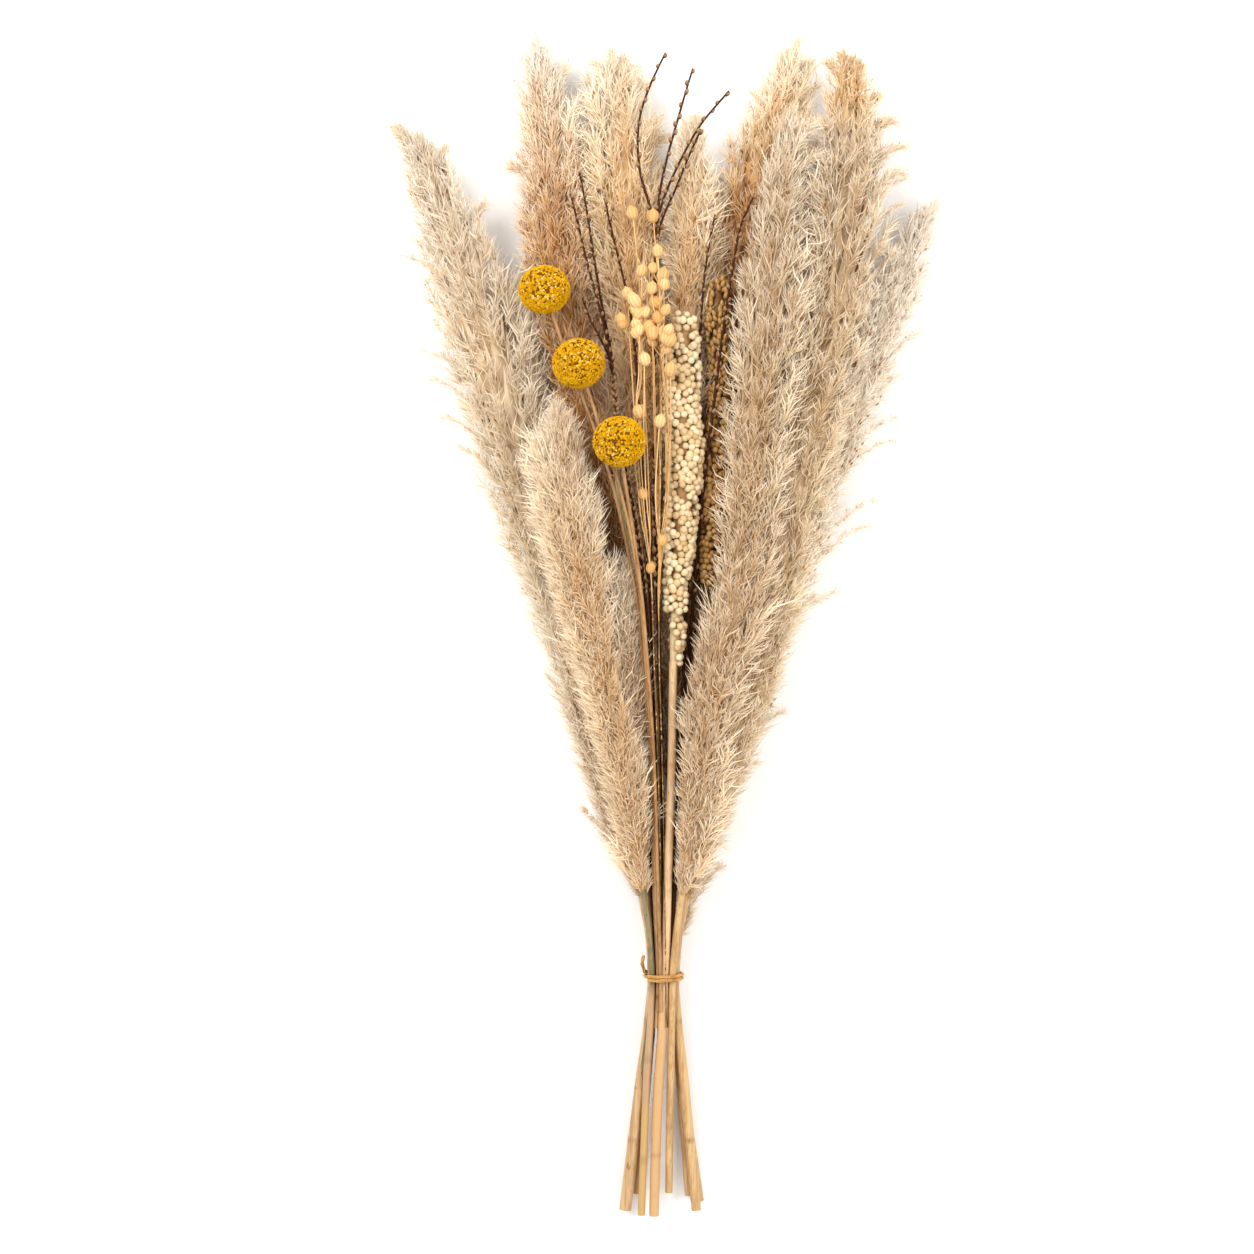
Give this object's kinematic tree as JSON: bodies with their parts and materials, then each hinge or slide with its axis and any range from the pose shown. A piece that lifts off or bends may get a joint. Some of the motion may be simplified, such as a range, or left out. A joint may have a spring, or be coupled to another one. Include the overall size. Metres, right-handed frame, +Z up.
{
  "type": "bundle of dried pampas grass",
  "caption": "Tied bunch of dried plumes with button flowers, flax pods, bead berries and dark twigs, lying flat, for a vase or as decoration.",
  "frame": {"origin": "middle of the bounding box in x and y, at its lowest level in z, where the bunch rests", "axes": "+Z up; +Y from the cut ends of the stems towards the plume tips, along the bunch; +X to the right seen from above with the tips away from the viewer"},
  "size_m": [0.306, 0.6658, 0.0944],
  "materials": {
    "plume_outer_left": "matte, silky dried hairs",
    "plume_inner_left": "matte, silky dried hairs",
    "plume_small_left": "matte, silky dried hairs",
    "plume_upper_left": "matte, silky dried hairs",
    "plume_centre_back": "matte, silky dried hairs",
    "plume_small_centre": "matte, silky dried hairs",
    "plume_right_back": "matte, silky dried hairs",
    "plume_front_right": "matte, silky dried hairs",
    "plume_tall_right": "matte, silky dried hairs",
    "plume_outer_right": "matte, silky dried hairs",
    "reed_stem": "smooth, faintly glossy dried reed",
    "berry": "dry, matte, faintly translucent husk",
    "side_berry": "dry, matte husk",
    "berry_stem": "smooth dried stalk",
    "button_flower": "matte, pitted dried florets",
    "button_stalk": "dry stalk",
    "twig": "dry dark bark",
    "flax": "dry straw with ribbed pods",
    "dry_stalk": "dry brown stalk",
    "leaf": "dried leaf with lengthwise veins",
    "raffia": "twisted raffia strand"
  },
  "bodies": {
    "root": {"plume_outer_left": "plume_outer_left", "plume_inner_left": "plume_inner_left", "plume_small_left": "plume_small_left", "plume_upper_left": "plume_upper_left", "plume_centre_back": "plume_centre_back", "plume_small_centre": "plume_small_centre", "plume_right_back": "plume_right_back", "plume_front_right": "plume_front_right", "plume_tall_right": "plume_tall_right", "plume_outer_right": "plume_outer_right", "stem_outer_left": "reed_stem", "stem_inner_left": "reed_stem", "stem_small_left": "reed_stem", "stem_upper_left": "reed_stem", "stem_centre_back": "reed_stem", "stem_small_centre": "reed_stem", "stem_right_back": "reed_stem", "stem_front_right": "reed_stem", "stem_tall_right": "reed_stem", "stem_outer_right": "reed_stem", "berry_spike": "berry", "stem_berry_spike": "berry_stem", "side_spike": "side_berry", "stem_side_spike": "berry_stem", "button_high": "button_flower", "stem_button_high": "button_stalk", "button_middle": "button_flower", "stem_button_middle": "button_stalk", "button_low": "button_flower", "stem_button_low": "button_stalk", "twig_centre": "twig", "twig_left": "twig", "twig_slim_left": "twig", "twig_slim_right": "twig", "twig_right": "twig", "flax_left": "flax", "flax_right": "flax", "dry_stalk": "dry_stalk", "leaf_blade": "leaf", "tie": "raffia"}
  },
  "joints": []
}
